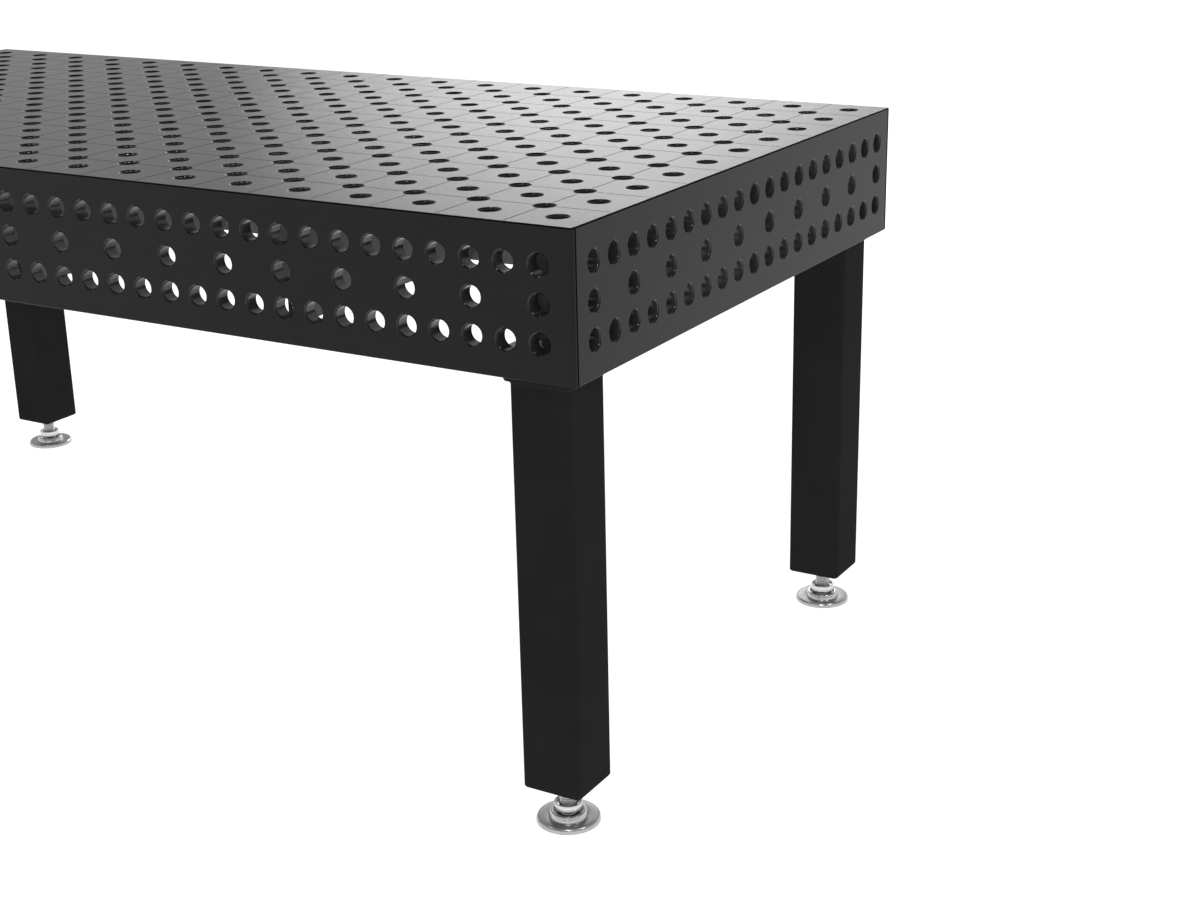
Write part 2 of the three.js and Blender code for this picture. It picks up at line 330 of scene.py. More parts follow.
# ------------------------------------------------------------------ materials
class Nodes:
    def __init__(self, name):
        self.mat = bpy.data.materials.new(name)
        self.mat.use_nodes = True
        self.t = self.mat.node_tree
        self.t.nodes.clear()
        self.out = self.add("ShaderNodeOutputMaterial")
        self.bsdf = self.add("ShaderNodeBsdfPrincipled")
        self.t.links.new(self.bsdf.outputs[0], self.out.inputs["Surface"])
        self.coord = self.add("ShaderNodeTexCoord").outputs["Object"]

    def add(self, kind, **props):
        n = self.t.nodes.new(kind)
        for k, x in props.items():
            setattr(n, k, x)
        return n

    def put(self, socket, value):
        if isinstance(value, bpy.types.NodeSocket):
            self.t.links.new(value, socket)
        else:
            socket.default_value = value

    def set(self, **values):
        for k, x in values.items():
            self.put(self.bsdf.inputs[k.replace("_", " ")], x)

    def scaled(self, x, y, z, coord=None):
        m = self.add("ShaderNodeMapping")
        self.put(m.inputs["Vector"], coord or self.coord)
        m.inputs["Scale"].default_value = (x, y, z)
        return m.outputs[0]

    def noise(self, scale, detail=2.0, rough=0.5, coord=None, distortion=0.0):
        n = self.add("ShaderNodeTexNoise")
        self.put(n.inputs["Vector"], coord or self.coord)
        n.inputs["Scale"].default_value = scale
        n.inputs["Detail"].default_value = detail
        n.inputs["Roughness"].default_value = rough
        n.inputs["Distortion"].default_value = distortion
        return n.outputs["Fac"]

    def math(self, op, a, b=None, c=None, clamp=False):
        n = self.add("ShaderNodeMath", operation=op, use_clamp=clamp)
        for s, x in zip(n.inputs, (a, b, c)):
            if x is not None:
                self.put(s, x)
        return n.outputs[0]

    def remap(self, x, a, b, c, d):
        n = self.add("ShaderNodeMapRange")
        for s, q in zip(n.inputs, (x, a, b, c, d)):
            self.put(s, q)
        return n.outputs[0]

    def mix(self, fac, a, b):
        n = self.add("ShaderNodeMix", data_type="RGBA")
        self.put(n.inputs[0], fac)
        self.put(n.inputs[6], a)
        self.put(n.inputs[7], b)
        return n.outputs[2]

    def bump(self, height, strength, distance, normal=None):
        n = self.add("ShaderNodeBump")
        n.inputs["Strength"].default_value = strength
        n.inputs["Distance"].default_value = distance
        self.put(n.inputs["Height"], height)
        if normal is not None:
            self.put(n.inputs["Normal"], normal)
        return n.outputs[0]

    def wear(self):
        return self.add("ShaderNodeAttribute", attribute_name="edge_wear").outputs["Fac"]


def grey(x, warm=0.0):
    return (x * (1 + warm), x, x * (1 - warm), 1.0)


def hardened_steel(name, low, high, ior, rough, grain=1.0, streak=(1.0, 1.0, 1.0), worn=0.25, spread=0.16):
    """Ground steel with a hard black-grey surface treatment: fine grain, faint grinding lines, cloudy patches."""
    m = Nodes(name)
    cloud = m.noise(2.6, 4.0, 0.6)
    patch = m.noise(21.0, 3.0, 0.55, distortion=0.6)
    fine = m.noise(620.0, 2.0, 0.6)
    lines = m.noise(1.0, 3.0, 0.65, coord=m.scaled(*streak))
    tone = m.math("ADD", m.math("MULTIPLY", cloud, 0.45), m.math("ADD", m.math("MULTIPLY", patch, 0.25), m.math("MULTIPLY", lines, 0.3)))
    base = m.mix(m.remap(tone, 0.35, 0.65, 0.0, 1.0), low, high)
    wear = m.math("MULTIPLY", m.wear(), m.remap(m.noise(85.0, 3.0, 0.7), 0.42, 0.7, 0.0, worn), clamp=True)
    base = m.mix(wear, base, grey(0.16))
    r = m.math("ADD", rough, m.math("MULTIPLY", m.math("SUBTRACT", tone, 0.5), spread))
    r = m.math("ADD", r, m.math("MULTIPLY", m.math("SUBTRACT", fine, 0.5), spread * 0.4))
    m.set(Base_Color=base, Roughness=r, IOR=ior, Metallic=0.0)
    n = m.bump(fine, 0.10 * grain, 0.0003)
    n = m.bump(lines, 0.035 * grain, 0.0006, n)
    m.set(Normal=n)
    return m.mat


mat_top = hardened_steel("table_top_steel", grey(0.010), grey(0.014, 0.03), 1.34, 0.26, streak=(3.0, 340.0, 340.0), spread=0.05)
mat_side = hardened_steel("table_side_steel", grey(0.0092, 0.05), grey(0.0126, 0.06), 1.232, 0.29, grain=0.5, streak=(3.0, 3.0, 180.0), spread=0.05)
mat_bore = hardened_steel("bore_steel", grey(0.034, 0.02), grey(0.052, 0.02), 1.55, 0.20, grain=0.7, streak=(900.0, 900.0, 900.0), worn=0.0, spread=0.1)
mat_chamfer = hardened_steel("chamfer_steel", grey(0.0030), grey(0.0050), 1.40, 0.15, grain=0.3, streak=(260.0, 260.0, 260.0), worn=0.05, spread=0.05)
mat_lip = hardened_steel("lip_steel", grey(0.006), grey(0.012), 1.9, 0.14, grain=0.3, streak=(260.0, 260.0, 260.0), worn=0.2, spread=0.05)


# dark material of the engraved grid lines; the same material is also painted on the worktop's edge round and into the
# corner seams as painted shade
def line_and_shade_material():
    m = Nodes("scribed_line_and_painted_shade")
    n = m.noise(900.0, 2.0, 0.6)
    m.set(Base_Color=m.mix(n, grey(0.0015), grey(0.004)), Roughness=m.remap(n, 0.3, 0.7, 0.6, 0.8), IOR=1.12)
    m.set(Normal=m.bump(n, 0.2, 0.0002))
    return m.mat


mat_line_and_shade = line_and_shade_material()


def powder_coat(name, low, high, rough, ior=1.40):
    """Black powder coat: orange-peel waves with a fine pebble over them."""
    m = Nodes(name)
    peel = m.noise(260.0, 2.0, 0.5)
    pebble = m.noise(1100.0, 2.0, 0.6)
    cloud = m.noise(5.0, 3.0, 0.6)
    m.set(Base_Color=m.mix(m.remap(cloud, 0.35, 0.65, 0.0, 1.0), low, high),
          Roughness=m.math("ADD", rough, m.math("MULTIPLY", m.math("SUBTRACT", pebble, 0.5), 0.12)), IOR=ior)
    n = m.bump(peel, 0.12, 0.0006)
    m.set(Normal=m.bump(pebble, 0.12, 0.0002, n))
    return m.mat


mat_leg = powder_coat("leg_powder_coat", grey(0.0170), grey(0.0208, 0.01), 0.60, 1.05)
mat_gusset = powder_coat("gusset_primer", grey(0.17, 0.02), grey(0.21, 0.03), 0.45)
mat_rib = powder_coat("rib_primer", grey(0.065, 0.02), grey(0.085, 0.03), 0.5)


def weld_metal():
    m = Nodes("weld_bead")
    patch = m.noise(160.0, 3.0, 0.6)
    fine = m.noise(900.0, 2.0, 0.6)
    m.set(Base_Color=m.mix(m.remap(patch, 0.35, 0.65, 0.0, 1.0), grey(0.02, 0.05), grey(0.05, 0.08)),
          Roughness=m.remap(fine, 0.3, 0.7, 0.32, 0.52), Metallic=0.35)
    m.set(Normal=m.bump(fine, 0.25, 0.0003))
    return m.mat


mat_weld = weld_metal()


def black_oxide():
    m = Nodes("screw_black_oxide")
    patch = m.noise(240.0, 3.0, 0.6)
    fine = m.noise(1500.0, 2.0, 0.6)
    wear = m.math("MULTIPLY", m.wear(), m.remap(patch, 0.4, 0.65, 0.1, 0.8), clamp=True)
    m.set(Base_Color=m.mix(wear, m.mix(patch, grey(0.022), grey(0.04)), grey(0.28)),
          Roughness=m.remap(fine, 0.3, 0.7, 0.28, 0.42), Metallic=0.85)
    m.set(Normal=m.bump(fine, 0.15, 0.0002))
    return m.mat


mat_screw = black_oxide()


def milled_plate():
    """Bright milled face of the corner plate the leg bolts to."""
    m = Nodes("corner_plate_milled")
    patch = m.noise(30.0, 3.0, 0.6)
    lines = m.noise(1.0, 2.0, 0.6, coord=m.scaled(500.0, 12.0, 500.0))
    m.set(Base_Color=m.mix(patch, grey(0.62), grey(0.76)), Roughness=m.remap(lines, 0.3, 0.7, 0.34, 0.5), Metallic=0.1)
    m.set(Normal=m.bump(lines, 0.12, 0.0004))
    return m.mat


mat_plate = milled_plate()


def turned_steel(name, low, high, rough, ring=2600.0, aniso=0.45, strength=0.16):
    """Bright turned steel: concentric tool marks about the piece's own vertical axis."""
    m = Nodes(name)
    sep = m.add("ShaderNodeSeparateXYZ")
    m.put(sep.inputs[0], m.coord)
    x, y, z = sep.outputs
    radius = m.math("SQRT", m.math("ADD", m.math("MULTIPLY", x, x), m.math("MULTIPLY", y, y)))
    comb = m.add("ShaderNodeCombineXYZ")
    m.put(comb.inputs[0], radius)
    m.put(comb.inputs[1], z)
    marks = m.noise(ring, 2.0, 0.7, coord=comb.outputs[0])
    broad = m.noise(320.0, 2.0, 0.6, coord=comb.outputs[0])
    cloud = m.noise(45.0, 3.0, 0.6)
    fine = m.noise(2400.0, 2.0, 0.6)
    tone = m.math("ADD", m.math("MULTIPLY", marks, 0.4), m.math("ADD", m.math("MULTIPLY", broad, 0.3), m.math("MULTIPLY", cloud, 0.3)))
    m.set(Base_Color=m.mix(m.remap(tone, 0.35, 0.65, 0.0, 1.0), low, high), Metallic=1.0,
          Roughness=m.math("ADD", rough, m.math("MULTIPLY", m.math("SUBTRACT", tone, 0.5), 0.25)),
          Anisotropic=aniso)
    tangent = m.add("ShaderNodeTangent", direction_type="RADIAL", axis="Z")
    m.set(Tangent=tangent.outputs[0])
    n = m.bump(marks, strength, 0.0003)
    m.set(Normal=m.bump(fine, 0.05, 0.0002, n))
    return m.mat


mat_disc = turned_steel("foot_disc_turned", grey(0.38), grey(0.50, 0.01), 0.34, aniso=0.1, strength=0.10)
mat_hub = turned_steel("foot_hub_turned", grey(0.60), grey(0.76, 0.01), 0.22, aniso=0.1, strength=0.06)
mat_spindle = turned_steel("foot_spindle_zinc", grey(0.64), grey(0.78, 0.01), 0.30, ring=1800.0, aniso=0.0, strength=0.03)

# ------------------------------------------------------------------ perforated plates
hx, hy = LENGTH / 2, WIDTH / 2


def top_outline(d):
    i = EDGE_R - math.sqrt(max(0.0, EDGE_R ** 2 - (EDGE_R - d) ** 2)) if d < EDGE_R else 0.0
    pts = rounded(-hx + i, hx - i, -hy + i, hy - i, [CORNER_R - i] * 4, [6] * 4)
    # a fine seam down each corner, just past the rounding, on the end faces
    out = []
    for k, (x, y) in enumerate(pts):
        if k not in (0, 17, 18, 35):
            out.append((x, y))
            continue
        s, t = (1 if x > 0 else -1), (-1 if y > 0 else 1)
        seam = [(x, y), (x - s * SEAM, y + t * SEAM_W / 2), (x, y + t * SEAM_W), (x, y + t * (SEAM_W + HOLD))]
        out.extend(seam if k in (17, 35) else reversed(seam))
    return out


top_holes = [(50 + 100 * i - hx, 50 + 100 * j - hy) for i in range(20) for j in range(10)]
top_holes += [(100 * i - hx, 100 * j - hy) for i in range(1, 20) for j in range(1, 10)]
clear = RIM_R + 0.9
lines = []
for i in range(1, 20):
    for j in range(10):
        lines.append(((100 * i - hx, 100 * j - hy + (clear if j else EDGE_R + 0.4)), (100 * i - hx, 100 * (j + 1) - hy - (clear if j < 9 else EDGE_R + 0.4))))
for j in range(1, 10):
    for i in range(20):
        lines.append(((100 * i - hx + (clear if i else EDGE_R + 0.4), 100 * j - hy), (100 * (i + 1) - hx - (clear if i < 19 else EDGE_R + 0.4), 100 * j - hy)))

# strips 2 to 5 of the edge round and the corner seams take the dark line material: painted shade
slab("worktop", lambda a, b, d: (a, b, HEIGHT - d), TOP_T, top_outline,
     [d for _, d in round_steps(EDGE_R, 6)] + [EDGE_R + HOLD, TOP_T], top_holes, lines,
     [mat_top, mat_bore, mat_line_and_shade, mat_side, mat_chamfer, mat_lip], "table", ["top_plate"],
     side_mat=3, chamfer_mat=4, lip_mat=5, edge=(2, 2, 6),
     seam=(lambda x, y, d: abs(abs(y) - hy + CORNER_R + HOLD + SEAM_W / 2) < 0.01, 2))


def skirt_holes(span):
    out = []
    for depth, pitch in ((50, 50), (100, 100), (150, 50)):
        s = 50
        while s < span - 1:
            out.append((s - span / 2, HEIGHT - depth))
            s += pitch
    return out


def long_outline(d):
    i = CORNER_R - math.sqrt(max(0.0, CORNER_R ** 2 - (CORNER_R - d) ** 2)) if d < CORNER_R else 0.0
    if abs(d - CORNER_R - HOLD - SEAM_W / 2) < 0.01:
        i = SEAM
    k = FOOT_R - math.sqrt(max(0.0, FOOT_R ** 2 - (FOOT_R - d) ** 2)) if d < FOOT_R else 0.0
    return rounded(-hx + i, hx - i, SKIRT_BOTTOM + k, SKIRT_TOP, [FOOT_R, FOOT_R, 0, 0], [5, 5, 0, 0])


# the seam's strips take material 4, the dark line material painted into the groove as shade
long_seam_painted_shade = (lambda x, y, d: abs(d - CORNER_R - HOLD - SEAM_W / 2) < 0.01 and abs(x) > hx - 2, 4)
long_depths = sorted({round(d, 6) for _, d in round_steps(CORNER_R, 8)} | {round(d, 6) for _, d in round_steps(FOOT_R, 5)}) + [CORNER_R + HOLD + q for q in (0.0, SEAM_W / 2, SEAM_W, SEAM_W + HOLD)] + [SIDE_T]
slab("skirt_long_front", lambda a, b, d: (a, -hy + d, b), SIDE_T, long_outline, long_depths, skirt_holes(LENGTH), [],
     [mat_side, mat_bore, mat_chamfer, mat_lip, mat_line_and_shade], "table", ["skirt_front"], chamfer_mat=2, lip_mat=3, seam=long_seam_painted_shade)
slab("skirt_long_rear", lambda a, b, d: (-a, hy - d, b), SIDE_T, long_outline, long_depths, skirt_holes(LENGTH), [],
     [mat_side, mat_bore, mat_chamfer, mat_lip, mat_line_and_shade], "table", ["skirt_rear"], chamfer_mat=2, lip_mat=3, seam=long_seam_painted_shade)


def end_outline(d):
    k = FOOT_R - math.sqrt(max(0.0, FOOT_R ** 2 - (FOOT_R - d) ** 2)) if d < FOOT_R else 0.0
    e = hy - SIDE_T
    return [(-e, SKIRT_BOTTOM + k), (e, SKIRT_BOTTOM + k), (e, SKIRT_TOP), (-e, SKIRT_TOP)]


end_depths = [d for _, d in round_steps(FOOT_R, 5)] + [FOOT_R + HOLD, SIDE_T]
slab("skirt_end_right", lambda a, b, d: (hx - d, a, b), SIDE_T, end_outline, end_depths, skirt_holes(WIDTH), [],
     [mat_side, mat_bore, mat_chamfer, mat_lip], "table", ["skirt_right"], chamfer_mat=2, lip_mat=3)
slab("skirt_end_left", lambda a, b, d: (-hx + d, -a, b), SIDE_T, end_outline, end_depths, skirt_holes(WIDTH), [],
     [mat_side, mat_bore, mat_chamfer, mat_lip], "table", ["skirt_left"], chamfer_mat=2, lip_mat=3)

# ------------------------------------------------------------------ ribs
inx, iny = hx - SIDE_T, hy - SIDE_T
b = Build()
prism(b, [(-inx, RIB_BOTTOM), (inx, RIB_BOTTOM), (inx, SKIRT_TOP), (-inx, SKIRT_TOP)],
      lambda s, z, d: (s, RIB_Y - RIB_T / 2 + d, z), RIB_T)
b.make("rib_long", [mat_rib], "table", ["rib_lengthwise"])
names = ("right", "middle", "left")
for x, label in zip(RIB_X, names):
    for side, sgn in (("front", -1), ("rear", 1)):
        b = Build()
        a0 = RIB_Y + sgn * RIB_T / 2
        a1 = sgn * iny
        # a relief clears the skirt's weld and lower edge
        s0, top = a1 - sgn * 24, RIB_BOTTOM + 42
        arc = [(s0 + sgn * (10 - 10 * math.cos(t)), top - 10 + 10 * math.sin(t)) for t in (math.pi / 2 * k / 6 for k in range(7))]
        poly = [(a0, RIB_BOTTOM), (s0, RIB_BOTTOM)] + arc + [(a1, top), (a1, SKIRT_TOP), (a0, SKIRT_TOP)]
        prism(b, poly, lambda s, z, d, x=x: (x + RIB_T / 2 - d, s, z), RIB_T)
        b.make(f"rib_{label}_{side}", [mat_rib], "table", [f"rib_cross_{label}_{side}"])

# stitch welds where the ribs meet the top and each other, and where the plates meet inside
b = Build()
seed = 0
for y, n in ((RIB_Y - RIB_T / 2, -1), (RIB_Y + RIB_T / 2, 1)):
    for x0 in range(-940, 940, 150):
        x1 = x0 + 46
        if any(x0 - 8 < X + RIB_T / 2 and x1 + 8 > X - RIB_T / 2 for X in RIB_X):
            x0, x1 = x0 + 62, x1 + 62
        # the bores of the lane beside the rib stay open
        seed += 1
        bead(b, (x0, y, SKIRT_TOP), (x1, y, SKIRT_TOP), (0, n, 0), (0, 0, -1), 4.2, seed=seed)
for X in RIB_X:
    for s in (-1, 1):
        x = X + s * RIB_T / 2
        for y0 in range(-452, 440, 128):
            y1 = y0 + 42
            if y0 < RIB_Y + 16 and y1 > RIB_Y - 16:
                continue
            seed += 1
            bead(b, (x, y0, SKIRT_TOP), (x, y1, SKIRT_TOP), (s, 0, 0), (0, 0, -1), 4.2, seed=seed)
        for y, n in ((RIB_Y - RIB_T / 2, -1), (RIB_Y + RIB_T / 2, 1)):
            seed += 1
            bead(b, (x, y, 668), (x, y, 722), (s, 0, 0), (0, n, 0), 4.2, seed=seed)
        for y, n in ((-iny, 1), (iny, -1)):
            seed += 1
            bead(b, (x, y, 716), (x, y, 776), (s, 0, 0), (0, n, 0), 4.2, seed=seed)
for y, n in ((-iny, 1), (iny, -1)):
    for x0 in range(-800, 790, 200):
        x1 = x0 + 48
        if any(x0 - 8 < X + RIB_T / 2 and x1 + 8 > X - RIB_T / 2 for X in RIB_X):
            x0, x1 = x0 + 66, x1 + 66
        seed += 1
        bead(b, (x0, y, SKIRT_TOP), (x1, y, SKIRT_TOP), (0, n, 0), (0, 0, -1), 4.6, seed=seed)
for x, n in ((-inx, 1), (inx, -1)):
    for y0 in range(-330, 320, 150):
        y1 = y0 + 48
        if y0 < RIB_Y + 16 and y1 > RIB_Y - 16:
            continue
        seed += 1
        bead(b, (x, y0, SKIRT_TOP), (x, y1, SKIRT_TOP), (n, 0, 0), (0, 0, -1), 4.6, seed=seed)
    for y, m in ((RIB_Y - RIB_T / 2, -1), (RIB_Y + RIB_T / 2, 1)):
        seed += 1
        bead(b, (x, y, 690), (x, y, 750), (n, 0, 0), (0, m, 0), 4.2, seed=seed)
b.make("rib_welds", [mat_weld], "table", sharp=60)

# ------------------------------------------------------------------ corners, legs and feet
LEG_W, LEG_R, LEG_WALL = 90.0, 8.0, 5.0


def square(w, r, n=8):
    return rounded(-w / 2, w / 2, -w / 2, w / 2, [r] * 4, [n] * 4)


def stack(b, loops, cap0=True, cap1=True, mat=0, cx=0.0, cy=0.0, wear=()):
    """Joins loops of (points, z) from below upwards."""
    rings = [b.points([(cx + x, cy + y, z) for x, y in pts], wear=1.0 if i in wear else None) for i, (pts, z) in enumerate(loops)]
    for p, q in zip(rings, rings[1:]):
        n = len(p)
        for k in range(n):
            j = (k + 1) % n
            b.face((p[k], p[j], q[j], q[k]), mat)
    if cap0:
        b.fan(rings[0], flip=True, mat=mat)
    if cap1:
        b.fan(rings[-1], mat=mat)
    return rings


def hexagon_loop(apothem, n=SEG):
    out = []
    for k in range(n):
        t = 2 * math.pi * k / n
        a = (t % (math.pi / 3)) - math.pi / 6
        r = apothem / math.cos(a)
        out.append((r * math.cos(t), r * math.sin(t)))
    return out


for corner, sx, sy in CORNERS:
    cx, cy = sx * LEG_X, sy * LEG_Y

    # corner mount: thick plate and two gussets, welded in
    def at(u, v):
        return sx * (hx - u), sy * (hy - v)

    b = Build()
    flipped = sx * sy > 0
    plate_poly = [(22, 22), (150, 22), (150, 139), (139, 150), (22, 150)]
    prism(b, [at(u, v) for u, v in plate_poly], lambda x, y, d: (x, y, 668 - d), 18, 1.0, mat=2)
    # gusset A runs along v, gusset B along u
    ga = [(22, 703), (41, 703), (55, 689), (55, 668), (119, 668), (119, SKIRT_TOP), (22, SKIRT_TOP)]
    prism(b, [(sy * (hy - v), z) for v, z in ga], lambda s, z, d: (max(sx * (hx - 69), sx * (hx - 81)) - d, s, z), 12, 0.9, mat=3)
    gb = [(22, 668), (150, 668), (150, SKIRT_TOP), (22, SKIRT_TOP)]
    prism(b, [(sx * (hx - u), z) for u, z in gb], lambda s, z, d: (s, min(sy * (hy - 119), sy * (hy - 131)) + d, z), 12, 0.9)
    for k, (v0, v1) in enumerate(((58, 117),)):
        for u, n in ((69, 1), (81, -1)):
            p, q = at(u, v0), at(u, v1)
            bead(b, (*p, 668), (*q, 668), (n * sx, 0, 0), (0, 0, 1), 4.6, 1, seed=k + u)
    for v, n in ((119, 1), (131, -1)):
        for u0, u1 in ((26, 66), (84, 140)):
            p, q = at(u0, v), at(u1, v)
            bead(b, (*p, 668), (*q, 668), (0, n * sy, 0), (0, 0, 1), 4.6, 1, seed=u0 + v)
    # plate to skirt, along both skirts, from above
    for u0, u1 in ((30, 70), (95, 142)):
        p, q = at(u0, 22), at(u1, 22)
        bead(b, (*p, 668), (*q, 668), (0, -sy, 0), (0, 0, 1), 4.6, 1, seed=u0)
        p, q = at(22, u0), at(22, u1)
        bead(b, (*p, 668), (*q, 668), (-sx, 0, 0), (0, 0, 1), 4.6, 1, seed=u0 + 3)
    b.make(f"corner_mount_{corner}", [mat_rib, mat_weld, mat_plate, mat_gusset], "table", [f"leg_mount_{corner}"])

    # flange, its lower edge rounded
    b = Build()
    rs = round_steps(4.2, 6)
    loops = [(square(102 - 2 * i, max(6 - i, 1.5)), 638.2 + d) for i, d in rs]
    loops += [(square(102, 6), 649.0), (square(101, 5.5), 650.0)]
    stack(b, loops, cx=cx, cy=cy)
    # ground weld between flange and tube
    fil = [(square(90.2, 8.2), 633.8), (square(91.6, 8.9), 635.6), (square(93.6, 9.8), 637.2), (square(96, 10.5), 638.3)]
    stack(b, fil, cx=cx, cy=cy)
    b.make(f"flange_{corner}", [mat_leg], "table", [f"leg_flange_{corner}"], sharp=40)

    # tube, closed below by an end plate welded in and dressed
    b = Build()
    rs = round_steps(3.6, 6)
    outer = [(square(LEG_W - 2 * i, max(LEG_R - i, 3)), 60 + d) for i, d in rs] + [(square(LEG_W, LEG_R), 100.0), (square(LEG_W, LEG_R), 369.0), (square(LEG_W, LEG_R), 638.2)]
    r_out = stack(b, outer, cap0=False, cap1=False, cx=cx, cy=cy)
    inner = [(square(LEG_W - 2 * LEG_WALL, LEG_R - LEG_WALL), z) for z in (638.2, 60.0)]
    r_in = stack(b, inner, cap0=False, cap1=False, cx=cx, cy=cy)
    n = len(r_out[0])
    for k in range(n):
        j = (k + 1) % n
        b.face((r_out[-1][k], r_out[-1][j], r_in[0][j], r_in[0][k]), 0, False)
        b.face((r_in[-1][k], r_in[-1][j], r_out[0][j], r_out[0][k]), 0, False)
    b.make(f"leg_{corner}", [mat_leg], "table", [f"leg_tube_{corner}"], sharp=40)

    # end plate with its threaded boss
    b = Build()
    sq = square(80, 3)
    N = len(sq)
    ang = [math.atan2(y, x) for x, y in sq]
    ring = lambda r: [(r * math.cos(a), r * math.sin(a)) for a in ang]
    seq = [(ring(12.4), 71.9), (ring(12.4), 55.2), (ring(13.4), 54.2), (ring(16.0), 54.1), (ring(16.8), 54.6), (ring(17.0), 55.4), (ring(17.0), 58.2),
           (ring(17.9), 59.2), (ring(19.6), 59.9), (square(79.0, 2.6), 59.9), (square(80, 3), 60.6), (square(80, 3), 71.9)]
    rings = [b.points([(cx + x, cy + y, z) for x, y in pts]) for pts, z in seq]
    for p, q in zip(rings, rings[1:] + rings[:1]):
        for k in range(N):
            j = (k + 1) % N
            b.face((p[j], p[k], q[k], q[j])[::-1], 0)
    b.make(f"leg_end_{corner}", [mat_leg], "table", [f"leg_nut_plate_{corner}"], sharp=35)

    # socket-head screws
    k = 0
    for i, j in ((-1, -1), (1, -1), (1, 1), (-1, 1)):
        k += 1
        x0, y0 = cx + i * 30, cy + j * 30
        b = Build()
        turn = 0.35 + 0.9 * k + 0.4 * sx + 0.7 * sy
        cs, sn = math.cos(turn), math.sin(turn)
        hexa = [(x * cs - y * sn, x * sn + y * cs) for x, y in hexagon_loop(5.0)]
        hexo = [(x * cs - y * sn, x * sn + y * cs) for x, y in hexagon_loop(5.35)]
        knurl = lambda r, on: [((r - (0.22 if on and q % 2 else 0.0)) * math.cos(2 * math.pi * q / SEG), (r - (0.22 if on and q % 2 else 0.0)) * math.sin(2 * math.pi * q / SEG)) for q in range(SEG)]
        loops = [(circle(0, 0, 5.5), 640.5), (circle(0, 0, 6.0), 641.2), (circle(0, 0, 6.0), 668.0), (circle(0, 0, 8.6), 668.0), (knurl(9.0, False), 668.5),
                 (knurl(9.0, True), 669.2), (knurl(9.0, True), 677.8), (knurl(8.95, False), 678.6), (circle(0, 0, 8.6), 679.6), (circle(0, 0, 7.9), 680.2), (circle(0, 0, 7.3), 680.3),
                 (hexo, 680.3), (hexa, 679.7), (hexa, 674.2), (circle(0, 0, 2.2), 673.2)]
        stack(b, loops, cap0=True, cap1=True, cx=x0, cy=y0, wear=(8, 9, 11))
        b.make(f"screw_{corner}_{k}", [mat_screw], "table", [f"leg_screw_{corner}_{k}"], sharp=34)

    # spindle with its thread
    b = Build()
    n, major, root = 48, 11.9, 10.9
    zs = [25.0 + 0.3 * q for q in range(int((147.6 - 25.0) / 0.3) + 1)]

    def thread(theta, z):
        f = (z / PITCH - theta / (2 * math.pi)) % 1.0
        tri = abs(2 * f - 1)                       # 1 at the crest, 0 at the root
        t = min(1.0, max(0.0, (tri - 0.2) / 0.64))
        t = t * t * (3 - 2 * t) * 0.35 + t * 0.65
        run_in = min(1.0, max(0.0, (z - 26.0) / 3.0)) * min(1.0, max(0.0, (147.4 - z) / 3.0))
        return root + (major - root) * (t if run_in >= 1 else t * run_in + (1 - run_in) * 0.55)

    rings = [b.points([(cx, cy, 21.5)]), b.points([(cx + x, cy + y, 21.5) for x, y in circle(0, 0, 10.6, n)]), b.points([(cx + x, cy + y, 22.4) for x, y in circle(0, 0, 11.6, n)]),
             b.points([(cx + x, cy + y, 24.6) for x, y in circle(0, 0, 11.6, n)])]
    for z in zs:
        rings.append(b.points([(cx + thread(2 * math.pi * q / n, z) * math.cos(2 * math.pi * q / n), cy + thread(2 * math.pi * q / n, z) * math.sin(2 * math.pi * q / n), z) for q in range(n)]))
    rings.append(b.points([(cx + x, cy + y, 148.6) for x, y in circle(0, 0, 10.6, n)]))
    rings.append(b.points([(cx + x, cy + y, 149.9) for x, y in circle(0, 0, 9.4, n)]))
    rings.append(b.points([(cx, cy, 149.9)]))
    for p, q in zip(rings, rings[1:]):
        for s in range(n):
            t = (s + 1) % n
            if len(p) == 1:
                b.face((p[0], q[t], q[s]), 0)
            elif len(q) == 1:
                b.face((p[s], p[t], q[0]), 0)
            else:
                b.face((p[s], p[t], q[t], q[s]), 0)
    b.make(f"spindle_screw_{corner}", [mat_spindle], f"spindle_{corner}", [f"foot_spindle_{corner}"], origin=(cx, cy, 0), sharp=75)

    # hub with its dished top
    b = Build()
    turned(b, [(0, 8.3), (5.9, 8.3), (6.4, 8.8), (6.4, 18.0), (6.9, 18.6), (18.3, 18.6), (18.8, 18.7), (19.5, 19.4), (19.7, 20.0), (19.75, 20.6), (19.75, 22.9), (19.55, 23.1), (19.55, 23.5), (19.75, 23.7),
               (19.75, 28.4), (19.7, 28.9), (19.45, 29.3), (19.0, 29.48), (18.2, 29.5), (17.6, 29.42), (17.25, 29.1), (17.1, 28.6), (16.7, 26.9), (16.3, 26.3), (15.7, 26.05), (13.3, 26.0),
               (12.95, 25.8), (12.85, 25.4), (12.85, 21.1), (0, 21.1)], 96, cx=cx, cy=cy)
    b.make(f"hub_turned_{corner}", [mat_hub], f"hub_{corner}", [f"foot_hub_{corner}"], origin=(cx, cy, 0), sharp=38)

    # disc with its raised ring
    b = Build()
